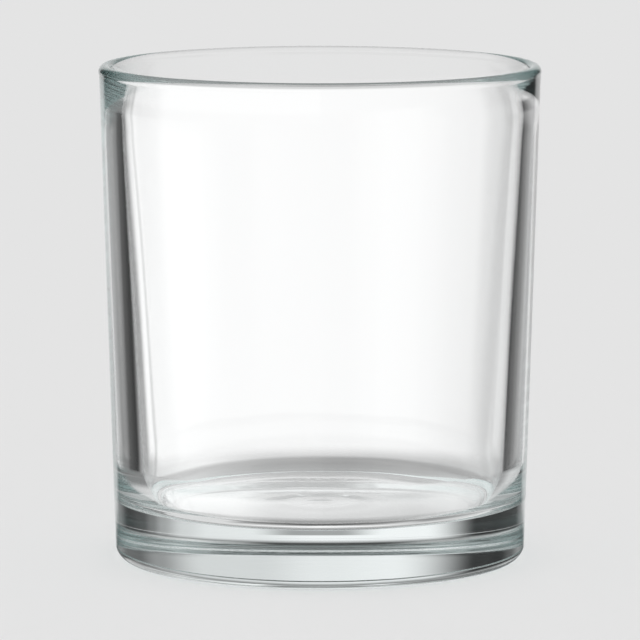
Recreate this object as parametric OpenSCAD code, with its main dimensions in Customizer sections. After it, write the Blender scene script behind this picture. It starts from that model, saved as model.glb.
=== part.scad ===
// Straight-sided water glass: one piece of pressed clear glass with a heavy base.
// The origin is the middle of the ring that the glass stands on, and +Z is up.
// Profile points are [distance from the axis, height above the table].

/* [Overall size] */
// Outside diameter at the widest part of the lip
rim_diameter = 80; // [76:0.5:86]
// Height from the table to the top of the lip
height = 90; // [80:1:110]
// Outside diameter of the straight side, carried down to the table
base_diameter = 74.4; // [70:0.2:75]

/* [Lip] */
// Thickness of the rounded lip
lip_thickness = 2.4; // [2:0.1:3]
// How far the bead of the lip stands out of the side
lip_bead = 0.1; // [0.06:0.02:0.2]
// Radius of the hollow under the bead
neck_radius = 1.6; // [1:0.1:3]
// How much thicker the side is than the lip, just below it
lip_step = 0.7; // [0.3:0.05:1]
// Radius of the curve that thins the inside of the wall up to the lip
flare_radius = 30; // [20:1:40]

/* [Wall and base] */
// Thickness of the wall where it meets the floor
wall_at_floor = 4.8; // [4:0.1:6]
// Height of the inside floor above the table
floor_height = 10.2; // [8:0.1:14]
// Radius of the long sweep that leads the inside of the wall towards the floor
sweep_radius = 30; // [20:1:45]
// How far the sweep turns, in degrees
sweep_turn = 10; // [6:1:16]
// Radius of the corner between the sweep and the floor
floor_corner_radius = 3.4; // [2.5:0.1:5]
// Radius of the heel, between the side and the underside
heel_radius = 2.6; // [1.5:0.1:4]

/* [Underside] */
// Width of the flat ring that touches the table
bearing_ring_width = 3.5; // [2:0.1:6]
// Depth of the hollow in the middle of the underside
push_up_depth = 0.6; // [0.3:0.1:2]

/* [Hidden] */
$fn = 200;
clear_glass = [0.88, 0.93, 0.92, 0.45];
// Arcs cross the straight sides by this hair, so that they join without a sliver
overlap = 0.002;

rim_radius = rim_diameter / 2;
base_radius = base_diameter / 2;
lip_radius = lip_thickness / 2;
lip_centre = [rim_radius - lip_radius, height - lip_radius];

// Outside of the wall: its lean, and the directions along it and out of it
outer_lean = atan((rim_radius - lip_bead - base_radius) / lip_centre.y);
outer_up = [sin(outer_lean), cos(outer_lean)];
outer_out = [cos(outer_lean), -sin(outer_lean)];

// Heel: an arc that touches the side and the underside
heel_reach = heel_radius * tan((90 - outer_lean) / 2);
heel_centre = [base_radius - heel_reach + overlap, heel_radius];
heel_side_point = [base_radius, 0] + heel_reach * outer_up;

// Neck: a hollow arc that touches the side and the bead of the lip
neck_depth = (lip_radius - lip_bead) * cos(outer_lean);
neck_drop = sqrt(pow(lip_radius + neck_radius, 2) - pow(neck_depth + neck_radius, 2));
neck_side_point = lip_centre + neck_depth * outer_out - neck_drop * outer_up;
neck_centre = neck_side_point + neck_radius * outer_out;

// Inside of the wall: it leans more than the outside, so the wall thins upwards
side_at_floor = base_radius + floor_height * tan(outer_lean);
floor_radius = side_at_floor - wall_at_floor;
bore_at_lip = rim_radius - lip_thickness - lip_step;
inner_lean = atan((bore_at_lip - floor_radius) / (lip_centre.y - floor_height));
inner_up = [sin(inner_lean), cos(inner_lean)];
inner_out = [cos(inner_lean), -sin(inner_lean)];

// Foot of the bore: a long sweep that leaves the wall, then a tight corner between the sweep and the floor
sweep_end = inner_lean + sweep_turn;
sweep_drop = sweep_radius * (sin(sweep_end) - sin(inner_lean));
corner_drop = floor_corner_radius * (1 - sin(sweep_end));
sweep_start = [floor_radius, floor_height] + (sweep_drop + corner_drop) / inner_up.y * inner_up;
sweep_centre = sweep_start - (sweep_radius - overlap) * inner_out;
sweep_finish = sweep_centre + sweep_radius * [cos(sweep_end), -sin(sweep_end)];
corner_centre = [
    sweep_finish.x - floor_corner_radius * cos(sweep_end) + overlap,
    floor_height + floor_corner_radius
];
// The sweep is carried on past the point where it touches the wall, so that it ends inside the bore
sweep_run_on = 2;

// Flare: a large arc between the inside of the wall and the lip, lowered so that it crosses both by a hair
flare_lowering = 10 * overlap;
flare_depth = (lip_centre.x - bore_at_lip) * cos(inner_lean);
flare_drop = sqrt(pow(flare_radius - lip_radius, 2) - pow(flare_radius - flare_depth, 2));
flare_wall_point = lip_centre - flare_depth * inner_out - (flare_drop + flare_lowering) * inner_up;
flare_centre = flare_wall_point + (flare_radius - overlap) * inner_out;
to_lip = lip_centre - flare_centre;
flare_lip_point = lip_centre + lip_radius * to_lip / norm(to_lip);

// Push-up: a shallow spherical hollow inside the bearing ring
push_up_radius = heel_centre.x - bearing_ring_width;
push_up_sphere = (pow(push_up_radius, 2) + pow(push_up_depth, 2)) / (2 * push_up_depth);

// A round whose start point lies off the arcs that show
module disc(centre, radius) {
    translate(centre) rotate(225) circle(radius);
}

// The part of a round between two directions, in degrees from +X
module sector(centre, radius, from, to) {
    intersection() {
        disc(centre, radius);
        polygon([
            centre,
            for (turn = [from, (from + to) / 2, to]) centre + 2 * radius * [cos(turn), sin(turn)]
        ]);
    }
}

// The outside form, filled to the axis
module outside_profile() {
    difference() {
        union() {
            polygon([
                [0, 0],
                [heel_centre.x, 0],
                heel_centre,
                heel_side_point,
                neck_side_point,
                neck_centre,
                lip_centre,
                flare_lip_point,
                [0, flare_lip_point.y]
            ]);
            disc(heel_centre, heel_radius);
            disc(lip_centre, lip_radius);
        }
        disc(neck_centre, neck_radius);
    }
}

// The space for the drink, open at the top
module cavity_profile() {
    difference() {
        union() {
            polygon([
                [0, floor_height],
                [corner_centre.x, floor_height],
                corner_centre,
                sweep_finish,
                sweep_start,
                flare_wall_point,
                [lip_centre.x, flare_wall_point.y],
                [lip_centre.x, height],
                [0, height]
            ]);
            sector(sweep_centre, sweep_radius, -sweep_end, sweep_run_on - inner_lean);
            disc(corner_centre, floor_corner_radius);
        }
        disc(flare_centre, flare_radius);
        disc(lip_centre, lip_radius);
    }
}

module push_up_profile() {
    difference() {
        disc([0, push_up_depth - push_up_sphere], push_up_sphere, $fn = 2000);
        translate([-2 * push_up_sphere, -2 * push_up_sphere])
            square([2 * push_up_sphere, 4 * push_up_sphere]);
    }
}

module tumbler() {
    color(clear_glass) rotate_extrude() difference() {
        outside_profile();
        cavity_profile();
        push_up_profile();
    }
}

tumbler();
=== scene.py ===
"""Studio scene of a straight-sided water glass: a finely turned mesh on a pale floor, lit from behind."""

import math

import bpy
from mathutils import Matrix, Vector, noise


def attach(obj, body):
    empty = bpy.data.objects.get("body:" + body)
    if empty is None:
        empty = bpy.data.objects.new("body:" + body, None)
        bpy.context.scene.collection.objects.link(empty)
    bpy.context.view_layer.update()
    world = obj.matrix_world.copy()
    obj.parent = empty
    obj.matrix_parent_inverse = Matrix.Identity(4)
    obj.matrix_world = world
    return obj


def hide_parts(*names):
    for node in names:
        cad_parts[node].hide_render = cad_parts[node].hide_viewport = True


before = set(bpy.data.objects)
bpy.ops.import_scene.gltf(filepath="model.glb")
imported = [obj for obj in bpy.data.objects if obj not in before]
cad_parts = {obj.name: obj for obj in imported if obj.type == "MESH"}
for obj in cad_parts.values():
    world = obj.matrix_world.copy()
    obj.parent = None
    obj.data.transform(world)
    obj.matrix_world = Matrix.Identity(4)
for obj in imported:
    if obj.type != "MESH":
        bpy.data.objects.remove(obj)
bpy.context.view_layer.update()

MM = 0.001
DEGREES = 180 / math.pi

# Driving sizes of the glass, in millimetres, as in the part's source
RIM_DIAMETER = 80.0
HEIGHT = 90.0
BASE_DIAMETER = 74.4
LIP_THICKNESS = 2.4
LIP_BEAD = 0.1
NECK_RADIUS = 1.6
LIP_STEP = 0.7
FLARE_RADIUS = 30.0
WALL_AT_FLOOR = 4.8
FLOOR_HEIGHT = 10.2
SWEEP_RADIUS = 30.0
SWEEP_TURN = 10.0
FLOOR_CORNER_RADIUS = 3.4
HEEL_RADIUS = 2.6
BEARING_RING_WIDTH = 3.5
PUSH_UP_DEPTH = 0.6

# Unevenness of the bore, in millimetres: how far it stands off the axis, how deep the streaks of the wall
# and the waves of the floor are and how far they run. It starts at the lip and settles some way below it.
BORE_OFFSET = 0.3
SETTLE_DEPTH = 12.0
WALL_WAVE = 0.02
WALL_STREAKS = 5.0
STREAK_LENGTH = 45.0
FLOOR_WAVE = 0.05
FLOOR_WAVE_LENGTH = 9.0
FLOOR_WAVE_RISE = 14.0

# Faint rings that the mould leaves in the middle of the underside, in millimetres
RING_DEPTH = 0.03
RING_SPACING = 7.0
RING_REACH = 17.0

# Fineness of the turned mesh. A point of the section nearer to the axis than this, in millimetres, is on it.
TURN_STEPS = 272
ARC_STEP_DEGREES = 2.5
UNDERSIDE_STEPS = 60
BEARING_RING_STEPS = 6
WALL_STEPS = 48
FLOOR_STEPS = 40
ON_AXIS = 1e-6

# Look of the glass
GLASS_IOR = 1.52
GLASS_COLOUR = (1.0, 1.0, 1.0, 1.0)
# Cast of the glass where it is thick: the colour that passes, and the density for each metre
DEPTH_COLOUR = (0.9, 1.0, 0.995, 1.0)
DEPTH_DENSITY = 6.5
# A ripple too fine for the mesh, its depth in millimetres
RIPPLE_SCALE = 90.0
RIPPLE_DETAIL = 0.0
RIPPLE_DEPTH = 0.002
# Scuffs on the ring that the glass stands on: the levels of the noise between which they set in, how rough
# they are, and the height in millimetres up to which they reach
SCUFF_SCALE = 700.0
SCUFF_DETAIL = 1.0
SCUFF_NOISE = (0.5, 0.7)
SCUFF_ROUGHNESS = 0.3
SCUFF_HEIGHT = 0.25

# Grey of the floor and the background, and the side of the floor in metres
BACKGROUND = 0.776
FLOOR_SIZE = 12.0

# Kinds of values below. STEPS hold (place, level) pairs. A WINDOW holds its two edges, then how soft each is.
# A RAMP holds its start and end, then the levels before and after it where these aren't 0 and 1.

# The floor as it shows through the glass, with places in millimetres from the axis.
# Behind the glass lies a painted grey shade, whose end bends forward at the sides.
TABLE_SHADE = 0.4
SHADE_START_RAMP = (5.0, 40.0)
SHADE_END_RAMP = (62.0, 97.0, 1.0, 0.0)
SHADE_BEND = 1 / 160
SHADE_STEPS = [(-44.0, 0.3), (-32.0, 0.1), (-8.0, 0.85), (6.0, 1.0), (12.0, 1.0), (54.0, 0.25)]
# Under the glass lies a dim patch of painted shade: its grey, its place across, and how strong it is from
# front to back
PATCH_SHADE = 0.35
PATCH_WINDOW = (-12.0, 21.0, 10.0, 10.0)
PATCH_STEPS = [(-22, 1.0), (-17, 0.35), (-2, 0.35), (10, 0.85), (26, 0.6), (32, 0.3)]
# Far from the glass, the floor shows pale in the mouth
FAR_FLOOR = 0.8
FAR_START = 150.0

# The studio as the glass shows it, with places in degrees: up from the horizon where the name says HEIGHT, to
# either side where it says OFF_BACK, and otherwise sideways from straight behind, positive to the right.

# Straight through one wall: bright at eye level over a grey strip, dark overhead between two lit corners
STRAIGHT_STEPS = [
    (-180, 0.85), (-150, 0.85), (-122, 0.3), (-98, 0.8), (-76, 0.4), (-64, 0.02), (-38, 0.02), (-21, 0.98),
    (0, 1.0), (12, 0.86), (22, 0.84), (30, 0.7), (38, 0.38), (43, 0.19), (48, 0.08), (60, 0.03),
    (76, 0.4), (90, 0.35), (104, 0.15), (124, 0.9), (148, 0.9), (166, 0.3), (180, 0.85),
]
STRAIGHT_HEIGHT_STEPS = [(1, 1.0), (5, 0.78), (8, 0.48), (15, 0.05)]
STRIP_LEVEL = 0.32
STRIP_WINDOW = (-8, 9, 9, 9)
STRIP_HEIGHT_RAMP = (-8.2, -7.1, 1.0, 0.0)
CORNER_STEPS = [
    (-62, 0.7), (-45, 0.4), (-26, 0.42), (-12, 0.06), (8, 0.06), (20, 0.45), (30, 0.75), (42, 0.6),
    (52, 0.33),
]
CORNER_HEIGHT_RAMP = (4, 16)

# Turned back inside the glass: the backdrop and side cards, evened out after some more bounces
TURNED_STEPS = [
    (-100, 0.3), (-72, 0.4), (-60, 0.1), (-52, 0.01), (-38, 0.02), (-14, 0.92), (0, 0.86), (12, 0.72),
    (24, 0.71), (40, 0.3), (52, 0.13), (62, 0.16), (74, 0.4), (96, 0.3), (110, 0.1), (124, 0.85),
    (146, 0.85), (158, 0.25),
]
EVENED_OFF_BACK_RAMP = (110, 140, 0.5, 0.15)
# Above them a pale ceiling, which is darker at the sides and in front except near its top
CEILING_JOIN_HEIGHT_RAMP = (26, 34)
CEILING_HEIGHT_STEPS = [(44, 0.87), (54, 0.4), (62, 0.03)]
CEILING_STEPS = [(-180, 0.1), (-100, 0.18), (-65, 1.0), (65, 1.0), (105, 0.55), (150, 0.55), (165, 0.1)]
CEILING_TOP_HEIGHT_RAMP = (44, 50)
# Below them, from the top down: what shows along the wall's edges, at the foot, on the table and steeply down
EDGE_JOIN_HEIGHT_RAMP = (-8, -4)
EDGE_STEPS = [
    (-180, 0.1), (-146, 0.4), (-137, 0.05), (-125, 0.08), (-112, 0.55), (-104, 1.0), (-76, 1.0), (-56, 0.9),
    (-49, 0.4), (-44, 0.03), (-36, 0.08), (-30, 0.25), (-24, 0.3), (-17, 0.6), (-12, 1.1), (-6, 0.5),
    (6, 0.5), (12, 1.1), (16, 0.8), (23, 0.57), (29, 0.34), (34, 0.18), (39, 0.07), (44, 0.02), (49, 0.5),
    (60, 0.6), (78, 0.5), (90, 0.1), (100, 0.12), (118, 0.7), (126, 1.0), (144, 1.0), (152, 0.7), (170, 0.1),
]
FOOT_JOIN_HEIGHT_RAMP = (-17, -13)
FOOT_STEPS = [
    (-48, 0.25), (-14, 0.25), (-8, 0.2), (8, 0.2), (14, 0.95), (28, 0.85), (44, 0.4), (60, 0.3), (78, 0.3),
    (92, 0.08), (104, 0.12), (118, 0.6), (124, 0.95), (146, 0.95), (152, 0.6), (166, 0.12), (178, 0.08),
]
TABLE_JOIN_HEIGHT_RAMP = (-28, -22)
TABLE_STEPS = [(-25, 0.75), (-4, 0.46), (4, 0.46), (22, 0.7), (32, 0.7), (50, 0.42), (70, 0.3)]
STEEP_JOIN_HEIGHT_RAMP = (-60, -54)
STEEP_OFF_BACK_STEPS = [(20, 1.0), (60, 0.6), (100, 0.28), (140, 0.13)]
# After many bounces inside the wall: levels by height, with a dim place at the front on the right
LOST_HEIGHT_STEPS = [(-4, 0.3), (4, 0.12), (12, 0.12), (19, 0.5), (50, 0.55), (58, 0.2), (66, 0.03)]
LOST_DIM_LEVEL = 0.22
LOST_DIM_RAMP = (130, 155)
LOST_DIM_HEIGHT_WINDOW = (26, 44, 3, 4)

# The backdrop through two walls, and as the outside of the glass mirrors it in the foot, the side and the lip
BACKDROP_WINDOW = (-24, 29, 6, 14)
MIRRORED_LEVEL = 0.8
MIRRORED_FOOT_WINDOW = (-11, 11, 8, 8)
MIRRORED_SIDE_HEIGHT_RAMP = (-10.5, -9.9)
MIRRORED_SIDE_WINDOW = (-26, 27, 8, 8)
MIRRORED_LIP_HEIGHT_RAMP = (-4, 0)
MIRRORED_LIP_WINDOW = (-17, 17, 12, 12)
# Marks on the backdrop, as shares taken off it: darker to the right, a soft fold on each side, dim low sides
UNEVEN_STEPS = [(-20, -0.12), (-2, 0.0), (14, 0.16)]
LEFT_FOLD_SHARE = 0.3
LEFT_FOLD_WINDOW = (-18.3, -16.7, 1, 1)
RIGHT_FOLD_SHARE = 0.1
RIGHT_FOLD_WINDOW = (11.5, 15, 2.5, 2)
LOW_SIDE_STEPS = [(-22, 0.55), (-14, 0.0), (14, 0.0), (22, 0.3)]
LOW_SIDE_HEIGHT_RAMP = (-15, -11, 1.0, 0.0)
# The backdrop fades overhead and, through two walls, towards the table. Steeply down it is dim.
BACKDROP_TOP_HEIGHT_STEPS = [(10, 1.0), (24, 0.3), (38, 0.05)]
BACKDROP_LOW_HEIGHT_STEPS = [(-40, 0.6), (-18, 1.06)]
BACKDROP_STEEP_HEIGHT_RAMP = (-64, -56, 0.2, 1.0)

# Dark flags beside the backdrop, and cards at the sides, overhead, at the zenith and low behind on the left
FLAG_RAMP = (-10, 10, 0.03, 0.07)
FILL_STEPS = [(-180, 0.95), (-130, 1.0), (-60, 1.0), (60, 0.9), (175, 0.95)]
FILL_OFF_BACK_RAMP = (56, 72)
FILL_HEIGHT_WINDOW = (-26, 1, 8, 6)
FILL_MIRRORED_SHARE = 0.15
OVERHEAD_OFF_BACK_RAMP = (100, 130, 0.05, 0.4)
OVERHEAD_TWO_WALLS_LEVEL = 0.7
OVERHEAD_HEIGHT_WINDOW = (36, 64, 10, 6)
ZENITH_HEIGHT_RAMP = (60, 70, 0.0, 0.2)
BACK_CARD_LEVEL = 0.95
BACK_CARD_WINDOW = (-75, -15, 10, 10)
BACK_CARD_HEIGHT_WINDOW = (-48, -19, 6, 5)
# After many bounces the cards run together
RUN_TOGETHER_HEIGHT_RAMP = (62, 74, 0.9, 0.25)

# Straight down through the glass, with no reflection on the way, the pale floor shows
FLOOR_BELOW = 0.72
FLOOR_BELOW_HEIGHT_RAMP = (-28.0, -17.0, 1.0, 0.0)
# Light on its way to the floor is weaker where it rattles about inside the heavy base
RATTLE_REFLECTIONS = 2
RATTLE_SHARE = 0.85

# Camera, fitted to the photograph's view
CAMERA_DISTANCE = 0.999
CAMERA_HEIGHT = 0.177
CAMERA_PITCH = 7.62
FOCAL_PIXELS = 5550.0
IMAGE_PIXELS = 640.0
SENSOR_WIDTH = 36.0

# Light that is caught in the wall leaves it only after many bounces
LIGHT_BOUNCES = 96


def smooth(share):
    """A soft step from 0 to 1."""
    share = min(1.0, max(0.0, share))
    return share * share * (3 - 2 * share)


def arc(centre, radius, start, end):
    """Points on a circle, from one angle to another, both in degrees."""
    steps = max(2, math.ceil(abs(end - start) / ARC_STEP_DEGREES))
    angles = [math.radians(start + (end - start) * i / steps) for i in range(steps + 1)]
    return [centre + radius * Vector((math.cos(a), math.sin(a))) for a in angles]


def line(start, end, steps):
    """Points along a straight line, closer together near both ends."""
    return [start.lerp(end, smooth(i / steps)) for i in range(steps + 1)]


def angle_of(v):
    return math.degrees(math.atan2(v.y, v.x))


def mould_rings(radius):
    """Height of the faint rings in the middle of the underside."""
    share = max(0.0, 1 - radius / RING_REACH)
    return RING_DEPTH * share * math.cos(2 * math.pi * radius / RING_SPACING)


def glass_profile():
    """The section of the glass: from the axis under the base to the lip, and on to the axis inside."""
    rim_radius = RIM_DIAMETER / 2
    base_radius = BASE_DIAMETER / 2
    lip_radius = LIP_THICKNESS / 2
    lip_centre = Vector((rim_radius - lip_radius, HEIGHT - lip_radius))

    outer_lean = math.atan((rim_radius - LIP_BEAD - base_radius) / lip_centre.y)
    outer_up = Vector((math.sin(outer_lean), math.cos(outer_lean)))
    outer_out = Vector((math.cos(outer_lean), -math.sin(outer_lean)))
    heel_reach = HEEL_RADIUS * math.tan((math.pi / 2 - outer_lean) / 2)
    heel_centre = Vector((base_radius - heel_reach, HEEL_RADIUS))

    neck_depth = (lip_radius - LIP_BEAD) * math.cos(outer_lean)
    neck_drop = math.sqrt((lip_radius + NECK_RADIUS) ** 2 - (neck_depth + NECK_RADIUS) ** 2)
    neck_side_point = lip_centre + neck_depth * outer_out - neck_drop * outer_up
    neck_centre = neck_side_point + NECK_RADIUS * outer_out

    floor_radius = base_radius + FLOOR_HEIGHT * math.tan(outer_lean) - WALL_AT_FLOOR
    bore_at_lip = rim_radius - LIP_THICKNESS - LIP_STEP
    inner_lean = math.atan((bore_at_lip - floor_radius) / (lip_centre.y - FLOOR_HEIGHT))
    inner_up = Vector((math.sin(inner_lean), math.cos(inner_lean)))
    inner_out = Vector((math.cos(inner_lean), -math.sin(inner_lean)))
    sweep_end = inner_lean + math.radians(SWEEP_TURN)
    sweep_drop = SWEEP_RADIUS * (math.sin(sweep_end) - math.sin(inner_lean))
    corner_drop = FLOOR_CORNER_RADIUS * (1 - math.sin(sweep_end))
    sweep_height = FLOOR_HEIGHT + sweep_drop + corner_drop
    sweep_start = Vector((floor_radius + (sweep_drop + corner_drop) * math.tan(inner_lean), sweep_height))
    sweep_centre = sweep_start - SWEEP_RADIUS * inner_out
    to_corner = Vector((math.cos(sweep_end), -math.sin(sweep_end)))
    corner_centre = sweep_centre + (SWEEP_RADIUS - FLOOR_CORNER_RADIUS) * to_corner

    flare_depth = (lip_centre.x - bore_at_lip) * math.cos(inner_lean)
    flare_drop = math.sqrt((FLARE_RADIUS - lip_radius) ** 2 - (FLARE_RADIUS - flare_depth) ** 2)
    flare_wall_point = lip_centre - flare_depth * inner_out - flare_drop * inner_up
    flare_centre = flare_wall_point + FLARE_RADIUS * inner_out

    push_up_radius = heel_centre.x - BEARING_RING_WIDTH
    push_up_sphere = (push_up_radius ** 2 + PUSH_UP_DEPTH ** 2) / (2 * PUSH_UP_DEPTH)
    push_up_centre = PUSH_UP_DEPTH - push_up_sphere
    push_up = []
    for i in range(UNDERSIDE_STEPS):
        r = push_up_radius * i / UNDERSIDE_STEPS
        dome = push_up_centre + math.sqrt(push_up_sphere ** 2 - r ** 2)
        push_up.append(Vector((r, dome + mould_rings(r))))

    outer_turn = math.degrees(outer_lean)
    inner_turn = math.degrees(inner_lean)
    lip_to_neck = angle_of(neck_centre - lip_centre)
    flare_to_lip = angle_of(lip_centre - flare_centre)
    heel = arc(heel_centre, HEEL_RADIUS, -90, -outer_turn)
    neck = arc(neck_centre, NECK_RADIUS, 180 - outer_turn, 180 + lip_to_neck)
    lip = arc(lip_centre, lip_radius, lip_to_neck, flare_to_lip)
    flare = arc(flare_centre, FLARE_RADIUS, flare_to_lip, 180 - inner_turn)
    sweep = arc(sweep_centre, SWEEP_RADIUS, -inner_turn, -inner_turn - SWEEP_TURN)
    corner = arc(corner_centre, FLOOR_CORNER_RADIUS, -inner_turn - SWEEP_TURN, -90)
    bearing_ring = line(Vector((push_up_radius, 0)), heel[0], BEARING_RING_STEPS)
    outer_wall = line(heel[-1], neck[0], WALL_STEPS)
    inner_wall = line(flare[-1], sweep[0], WALL_STEPS)
    floor = line(corner[-1], Vector((0, FLOOR_HEIGHT)), FLOOR_STEPS)

    # Each stretch leaves out its last point, where the next one starts
    outside = push_up
    for stretch in (bearing_ring, heel, outer_wall, neck, lip):
        outside = outside + stretch[:-1]
    inside = []
    for stretch in (flare, inner_wall, sweep, corner):
        inside = inside + stretch[:-1]
    return outside, inside + floor


def uneven(point, turn):
    """How far a point of the inside stands out of its true place: off the axis, and in or up by waves."""
    settled = smooth((HEIGHT - point.y) / SETTLE_DEPTH)
    low = smooth(1 - (point.y - FLOOR_HEIGHT) / FLOOR_WAVE_RISE)
    around = Vector((math.cos(turn), math.sin(turn)))
    streak = noise.noise(Vector((*(WALL_STREAKS * around), point.y / STREAK_LENGTH)))
    wave = noise.noise(Vector((*(point.x * around), point.y)) / FLOOR_WAVE_LENGTH)
    depth = settled * ((1 - low) * WALL_WAVE * streak + low * FLOOR_WAVE * wave)
    return Vector((BORE_OFFSET * settled, 0, 0)) + depth * Vector((-around.x, -around.y, 1))


def turned_mesh(name, outside, inside):
    """A closed mesh of the section turned about the Z axis, with an uneven inside."""
    vertices = []
    rings = []
    for point in outside + inside:
        turns = TURN_STEPS if point.x > ON_AXIS else 1
        rings.append(list(range(len(vertices), len(vertices) + turns)))
        for step in range(turns):
            turn = 2 * math.pi * step / TURN_STEPS
            place = Vector((point.x * math.cos(turn), point.x * math.sin(turn), point.y))
            if len(rings) > len(outside):
                place += uneven(point, turn)
            vertices.append(place * MM)
    faces = []
    for ring, next_ring in zip(rings, rings[1:]):
        for step in range(TURN_STEPS):
            after = (step + 1) % TURN_STEPS
            if len(ring) == 1:
                faces.append((ring[0], next_ring[after], next_ring[step]))
            elif len(next_ring) == 1:
                faces.append((ring[step], ring[after], next_ring[0]))
            else:
                faces.append((ring[step], ring[after], next_ring[after], next_ring[step]))
    mesh = bpy.data.meshes.new(name)
    mesh.from_pydata(vertices, [], faces)
    mesh.shade_smooth()
    mesh.validate()
    piece = bpy.data.objects.new(name, mesh)
    bpy.context.scene.collection.objects.link(piece)
    return piece


class NodeSums:
    """Builds sums out of shader nodes for a material or world, with short names."""

    def __init__(self, owner):
        owner.use_nodes = True
        self.tree = owner.node_tree
        self.tree.nodes.clear()

    def node(self, kind):
        return self.tree.nodes.new(kind)

    def put(self, socket, value):
        """Sets a socket to a number or colour, or links it to the socket that gives its value."""
        if isinstance(value, bpy.types.NodeSocket):
            self.tree.links.new(value, socket)
        else:
            socket.default_value = value

    def sum(self, operation, *values):
        node = self.node("ShaderNodeMath")
        node.operation = operation
        for socket, value in zip(node.inputs, values):
            self.put(socket, value)
        return node.outputs[0]

    def chain(self, operation, values):
        """One sum over any number of values, from left to right."""
        total = values[0]
        for value in values[1:]:
            total = self.sum(operation, total, value)
        return total

    def times(self, *values):
        return self.chain("MULTIPLY", values)

    def plus(self, *values):
        return self.chain("ADD", values)

    def brightest(self, *values):
        return self.chain("MAXIMUM", values)

    def rest_of(self, share):
        return self.sum("SUBTRACT", 1.0, share)

    def mix(self, share, first, second):
        return self.plus(self.times(first, self.rest_of(share)), self.times(second, share))

    def more_than(self, count, limit):
        """Compares a whole number half-way to the next one."""
        return self.sum("GREATER_THAN", count, limit + 0.5)

    def fewer_than(self, count, limit):
        """Compares a whole number half-way to the one before."""
        return self.sum("LESS_THAN", count, limit - 0.5)

    def ramp(self, value, start, end, before=0.0, after=1.0):
        """A soft step from one level to another."""
        node = self.node("ShaderNodeMapRange")
        node.interpolation_type = "SMOOTHSTEP"
        self.put(node.inputs["Value"], value)
        for name, level in (("From Min", start), ("From Max", end), ("To Min", before), ("To Max", after)):
            self.put(node.inputs[name], level)
        return node.outputs[0]

    def window(self, value, low, high, low_soft, high_soft):
        """One between two places and nought outside, with a soft step at each."""
        rise = self.ramp(value, low - low_soft / 2, low + low_soft / 2)
        fall = self.ramp(value, high - high_soft / 2, high + high_soft / 2, 1.0, 0.0)
        return self.times(rise, fall)

    def steps(self, value, places):
        """Soft steps through (place, level) pairs."""
        level = places[0][1]
        for (start, before), (end, after) in zip(places, places[1:]):
            level = self.plus(level, self.ramp(value, start, end, 0.0, after - before))
        return level

    def length(self, x, y):
        return self.sum("SQRT", self.plus(self.times(x, x), self.times(y, y)))

    def split(self, vector):
        parts = self.node("ShaderNodeSeparateXYZ")
        self.put(parts.inputs[0], vector)
        return parts.outputs

    def noise(self, place, scale, detail):
        node = self.node("ShaderNodeTexNoise")
        self.put(node.inputs["Vector"], place)
        self.put(node.inputs["Scale"], scale)
        self.put(node.inputs["Detail"], detail)
        return node.outputs["Fac"]

    def grey(self, kind, level):
        """A shader of one plain grey."""
        node = self.node(kind)
        self.put(node.inputs["Color"], (level, level, level, 1.0))
        return node.outputs[0]

    def blend(self, share, first, second):
        """A mix of two shaders."""
        node = self.node("ShaderNodeMixShader")
        for socket, value in zip(node.inputs, (share, first, second)):
            self.put(socket, value)
        return node.outputs[0]


def glass_material():
    """Clear glass: a faint cast where it is thick, a slight ripple, and scuffs under its foot."""
    material = bpy.data.materials.new("clear_glass")
    nodes = NodeSums(material)
    place = nodes.node("ShaderNodeTexCoord").outputs["Object"]
    above_table = nodes.times(nodes.split(place)[2], 1 / MM)

    scuff_noise = nodes.noise(place, SCUFF_SCALE, SCUFF_DETAIL)
    scuffs = nodes.ramp(scuff_noise, *SCUFF_NOISE, 0.0, SCUFF_ROUGHNESS)
    on_foot = nodes.ramp(above_table, 0.0, SCUFF_HEIGHT, 1.0, 0.0)
    ripple = nodes.node("ShaderNodeBump")
    nodes.put(ripple.inputs["Height"], nodes.noise(place, RIPPLE_SCALE, RIPPLE_DETAIL))
    nodes.put(ripple.inputs["Distance"], RIPPLE_DEPTH * MM)

    shader = nodes.node("ShaderNodeBsdfPrincipled")
    nodes.put(shader.inputs["Base Color"], GLASS_COLOUR)
    nodes.put(shader.inputs["IOR"], GLASS_IOR)
    nodes.put(shader.inputs["Transmission Weight"], 1.0)
    nodes.put(shader.inputs["Roughness"], nodes.times(on_foot, scuffs))
    nodes.put(shader.inputs["Normal"], ripple.outputs[0])
    depth = nodes.node("ShaderNodeVolumeAbsorption")
    nodes.put(depth.inputs["Color"], DEPTH_COLOUR)
    nodes.put(depth.inputs["Density"], DEPTH_DENSITY)
    output = nodes.node("ShaderNodeOutputMaterial")
    nodes.put(output.inputs["Surface"], shader.outputs[0])
    nodes.put(output.inputs["Volume"], depth.outputs[0])
    return material


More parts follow.
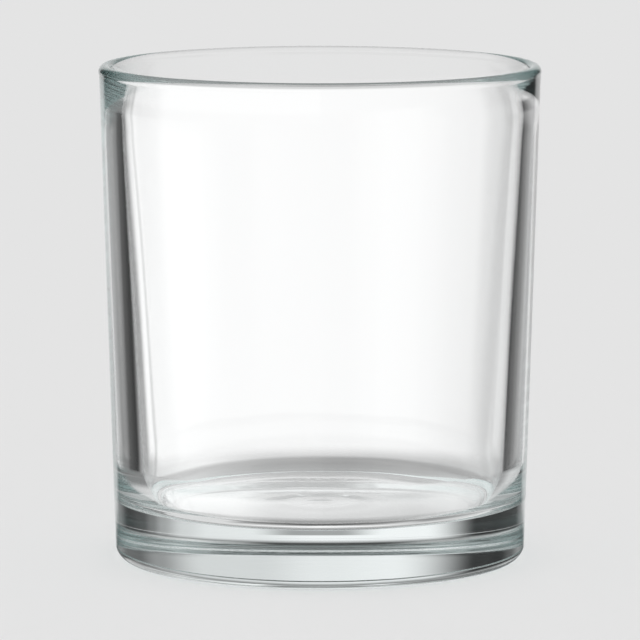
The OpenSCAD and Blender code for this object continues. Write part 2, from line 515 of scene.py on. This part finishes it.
def floor_material():
    """Plain grey. Through the glass, the part close to it shows painted shade, and the rest mostly the
    studio.
    """
    material = bpy.data.materials.new("floor")
    nodes = NodeSums(material)
    plain = nodes.grey("ShaderNodeBsdfDiffuse", BACKGROUND)
    # Painted shade: the grey that the floor shows behind the glass
    painted_shade = nodes.grey("ShaderNodeEmission", TABLE_SHADE)
    # Painted shade: the dim grey that the floor shows under the glass
    painted_patch = nodes.grey("ShaderNodeEmission", PATCH_SHADE)
    far = nodes.grey("ShaderNodeEmission", FAR_FLOOR)
    clear = nodes.node("ShaderNodeBsdfTransparent").outputs[0]

    x, y, _ = nodes.split(nodes.node("ShaderNodeNewGeometry").outputs["Position"])
    x = nodes.times(x, 1 / MM)
    y = nodes.times(y, 1 / MM)
    from_axis = nodes.length(x, y)
    under_glass = nodes.sum("LESS_THAN", from_axis, BASE_DIAMETER / 2)
    light = nodes.node("ShaderNodeLightPath").outputs
    two_walls = nodes.more_than(light["Transmission Depth"], 2)
    one_wall = nodes.fewer_than(light["Ray Depth"], 3)

    # Painted shade on the floor behind the glass, seen only through two walls
    back_edge = nodes.plus(y, nodes.times(x, x, SHADE_BEND))
    behind = nodes.times(
        nodes.steps(x, SHADE_STEPS),
        nodes.ramp(y, *SHADE_START_RAMP),
        nodes.ramp(back_edge, *SHADE_END_RAMP),
        nodes.rest_of(under_glass),
        two_walls)
    # Painted shade in a dim patch under the glass, seen only through two walls
    below = nodes.times(nodes.window(x, *PATCH_WINDOW), nodes.steps(y, PATCH_STEPS), under_glass, two_walls)
    in_mouth = nodes.times(nodes.sum("GREATER_THAN", from_axis, FAR_START), one_wall)

    seen_through = nodes.blend(behind, clear, painted_shade)
    seen_through = nodes.blend(below, seen_through, painted_patch)
    seen_through = nodes.blend(in_mouth, seen_through, far)
    surface = nodes.blend(light["Is Transmission Ray"], plain, seen_through)
    nodes.put(nodes.node("ShaderNodeOutputMaterial").inputs["Surface"], surface)
    return material


def pale_floor():
    half = FLOOR_SIZE / 2
    corners = [(-half, -half, 0), (half, -half, 0), (half, half, 0), (-half, half, 0)]
    mesh = bpy.data.meshes.new("floor")
    mesh.from_pydata(corners, [], [(0, 1, 2, 3)])
    mesh.materials.append(floor_material())
    floor = bpy.data.objects.new("floor", mesh)
    floor.visible_glossy = False
    bpy.context.scene.collection.objects.link(floor)
    return floor


def straight_light(studio, sideways, height):
    """What shows straight through one wall, above all in the mouth."""
    across = studio.steps(sideways, STRAIGHT_STEPS)
    upright = studio.steps(height, STRAIGHT_HEIGHT_STEPS)
    strip = studio.times(studio.ramp(height, *STRIP_HEIGHT_RAMP), studio.window(sideways, *STRIP_WINDOW))
    behind = studio.times(across, upright, studio.mix(strip, 1.0, STRIP_LEVEL))
    corners = studio.times(studio.steps(sideways, CORNER_STEPS), studio.ramp(height, *CORNER_HEIGHT_RAMP))
    return studio.brightest(behind, corners)


def turned_light(studio, sideways, height, path):
    """What shows where a path is turned back inside the glass: in the base and along the wall's edges."""
    off_back = studio.sum("ABSOLUTE", sideways)
    across = studio.steps(sideways, TURNED_STEPS)
    turned = studio.mix(path["some_bounces"], across, studio.ramp(off_back, *EVENED_OFF_BACK_RAMP))

    near_top = studio.ramp(height, *CEILING_TOP_HEIGHT_RAMP)
    around = studio.mix(near_top, studio.steps(sideways, CEILING_STEPS), 1.0)
    ceiling = studio.times(studio.steps(height, CEILING_HEIGHT_STEPS), around)
    turned = studio.mix(studio.ramp(height, *CEILING_JOIN_HEIGHT_RAMP), turned, ceiling)
    lower_levels = (
        (EDGE_JOIN_HEIGHT_RAMP, studio.steps(sideways, EDGE_STEPS)),
        (FOOT_JOIN_HEIGHT_RAMP, studio.steps(sideways, FOOT_STEPS)),
        (TABLE_JOIN_HEIGHT_RAMP, studio.steps(sideways, TABLE_STEPS)),
        (STEEP_JOIN_HEIGHT_RAMP, studio.steps(off_back, STEEP_OFF_BACK_STEPS)),
    )
    for join, level in lower_levels:
        turned = studio.mix(studio.ramp(height, *join), level, turned)

    dim = studio.times(studio.ramp(sideways, *LOST_DIM_RAMP), studio.window(height, *LOST_DIM_HEIGHT_WINDOW))
    lost = studio.times(studio.steps(height, LOST_HEIGHT_STEPS), studio.mix(dim, 1.0, LOST_DIM_LEVEL))
    return studio.mix(path["many_bounces"], turned, lost)


def backdrop_light(studio, sideways, height, path):
    """The pale backdrop behind the glass."""
    through_walls = studio.window(sideways, *BACKDROP_WINDOW)
    # The side of the glass mirrors all of the backdrop, the lip less of it and the foot only the middle
    mirrored = studio.window(sideways, *MIRRORED_FOOT_WINDOW)
    higher_up = (
        (MIRRORED_SIDE_HEIGHT_RAMP, MIRRORED_SIDE_WINDOW),
        (MIRRORED_LIP_HEIGHT_RAMP, MIRRORED_LIP_WINDOW),
    )
    for join, window in higher_up:
        mirrored = studio.mix(studio.ramp(height, *join), mirrored, studio.window(sideways, *window))
    mirrored = studio.times(mirrored, MIRRORED_LEVEL)
    across = studio.mix(path["two_walls"], mirrored, through_walls)

    left_fold = studio.times(studio.window(sideways, *LEFT_FOLD_WINDOW), LEFT_FOLD_SHARE)
    right_fold = studio.times(studio.window(sideways, *RIGHT_FOLD_WINDOW), RIGHT_FOLD_SHARE)
    low_sides = studio.steps(sideways, LOW_SIDE_STEPS)
    low_sides = studio.times(low_sides, studio.ramp(height, *LOW_SIDE_HEIGHT_RAMP))
    marks = studio.plus(left_fold, right_fold, studio.steps(sideways, UNEVEN_STEPS), low_sides)
    across = studio.times(across, studio.rest_of(studio.times(path["two_walls"], marks)))

    top = studio.steps(height, BACKDROP_TOP_HEIGHT_STEPS)
    low = studio.mix(path["two_walls"], 1.0, studio.steps(height, BACKDROP_LOW_HEIGHT_STEPS))
    return studio.times(across, top, low, studio.ramp(height, *BACKDROP_STEEP_HEIGHT_RAMP))


def card_light(studio, sideways, height, path):
    """What the outside mirrors and what shows through two walls: the backdrop, the flags and the cards."""
    off_back = studio.sum("ABSOLUTE", sideways)
    backdrop = backdrop_light(studio, sideways, height, path)
    flags = studio.ramp(sideways, *FLAG_RAMP)
    fill = studio.times(
        studio.ramp(off_back, *FILL_OFF_BACK_RAMP),
        studio.window(height, *FILL_HEIGHT_WINDOW),
        studio.steps(sideways, FILL_STEPS),
        studio.mix(path["outside"], 1.0, FILL_MIRRORED_SHARE))
    overhead = studio.ramp(off_back, *OVERHEAD_OFF_BACK_RAMP)
    overhead = studio.mix(path["two_walls"], overhead, OVERHEAD_TWO_WALLS_LEVEL)
    overhead = studio.times(overhead, studio.window(height, *OVERHEAD_HEIGHT_WINDOW))
    zenith = studio.ramp(height, *ZENITH_HEIGHT_RAMP)
    back_card = studio.times(
        studio.window(sideways, *BACK_CARD_WINDOW),
        studio.window(height, *BACK_CARD_HEIGHT_WINDOW),
        BACK_CARD_LEVEL)
    cards = studio.brightest(backdrop, flags, fill, overhead, zenith, back_card)
    return studio.mix(path["many_bounces"], cards, studio.ramp(height, *RUN_TOGETHER_HEIGHT_RAMP))


def build_world():
    """A studio whose light depends on its direction and on how the path to it ran through the glass."""
    world = bpy.data.worlds.new("studio")
    bpy.context.scene.world = world
    studio = NodeSums(world)
    x, y, z = studio.split(studio.node("ShaderNodeTexCoord").outputs["Generated"])
    sideways = studio.times(studio.sum("ARCTAN2", x, y), DEGREES)
    height = studio.times(studio.sum("ARCSINE", z), DEGREES)

    # A wall is two surfaces to pass. At the world, Ray Depth counts one more than the bounces.
    light = studio.node("ShaderNodeLightPath").outputs
    passed = light["Transmission Depth"]
    bounces = studio.sum("SUBTRACT", light["Ray Depth"], 1.0)
    reflections = studio.sum("SUBTRACT", bounces, passed)
    path = {
        "outside": studio.fewer_than(passed, 1),
        "two_walls": studio.more_than(passed, 2),
        "turned_back": studio.more_than(bounces, 2),
        "some_bounces": studio.more_than(bounces, 4),
        "many_bounces": studio.more_than(bounces, 7),
    }

    one_wall = studio.rest_of(studio.plus(path["outside"], path["two_walls"]))
    straight = straight_light(studio, sideways, height)
    turned = turned_light(studio, sideways, height, path)
    one_wall_light = studio.mix(path["turned_back"], straight, turned)
    seen_by_glass = studio.mix(one_wall, card_light(studio, sideways, height, path), one_wall_light)
    below = studio.ramp(height, *FLOOR_BELOW_HEIGHT_RAMP)
    looking_down = studio.times(studio.fewer_than(reflections, 1), below)
    seen_by_glass = studio.mix(looking_down, seen_by_glass, FLOOR_BELOW)

    # The floor gets even light, and behind the whole scene the camera sees the background
    from_glass = studio.brightest(light["Is Transmission Ray"], light["Is Glossy Ray"])
    for_floor = studio.more_than(light["Diffuse Depth"], 0)
    floor_light = studio.mix(studio.more_than(reflections, RATTLE_REFLECTIONS), 1.0, RATTLE_SHARE)
    level = studio.mix(from_glass, 1.0, seen_by_glass)
    level = studio.mix(for_floor, level, floor_light)
    level = studio.mix(light["Is Camera Ray"], level, BACKGROUND)

    background = studio.node("ShaderNodeBackground")
    studio.put(background.inputs["Color"], level)
    output = studio.node("ShaderNodeOutputWorld")
    studio.put(output.inputs["Surface"], background.outputs[0])


def build_camera():
    data = bpy.data.cameras.new("camera")
    data.sensor_width = SENSOR_WIDTH
    data.lens = FOCAL_PIXELS * SENSOR_WIDTH / IMAGE_PIXELS
    camera = bpy.data.objects.new("camera", data)
    camera.location = (0, -CAMERA_DISTANCE, CAMERA_HEIGHT)
    camera.rotation_euler = (math.radians(90 - CAMERA_PITCH), 0, 0)
    bpy.context.scene.collection.objects.link(camera)
    bpy.context.scene.camera = camera


tumbler = turned_mesh("tumbler_glass", *glass_profile())
tumbler.data.materials.append(glass_material())
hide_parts("tumbler")
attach(tumbler, "root")

pale_floor()
build_world()
build_camera()

scene = bpy.context.scene
scene.view_settings.view_transform = "Standard"
scene.cycles.blur_glossy = 0.0
scene.cycles.max_bounces = LIGHT_BOUNCES
scene.cycles.transmission_bounces = LIGHT_BOUNCES
scene.cycles.glossy_bounces = LIGHT_BOUNCES
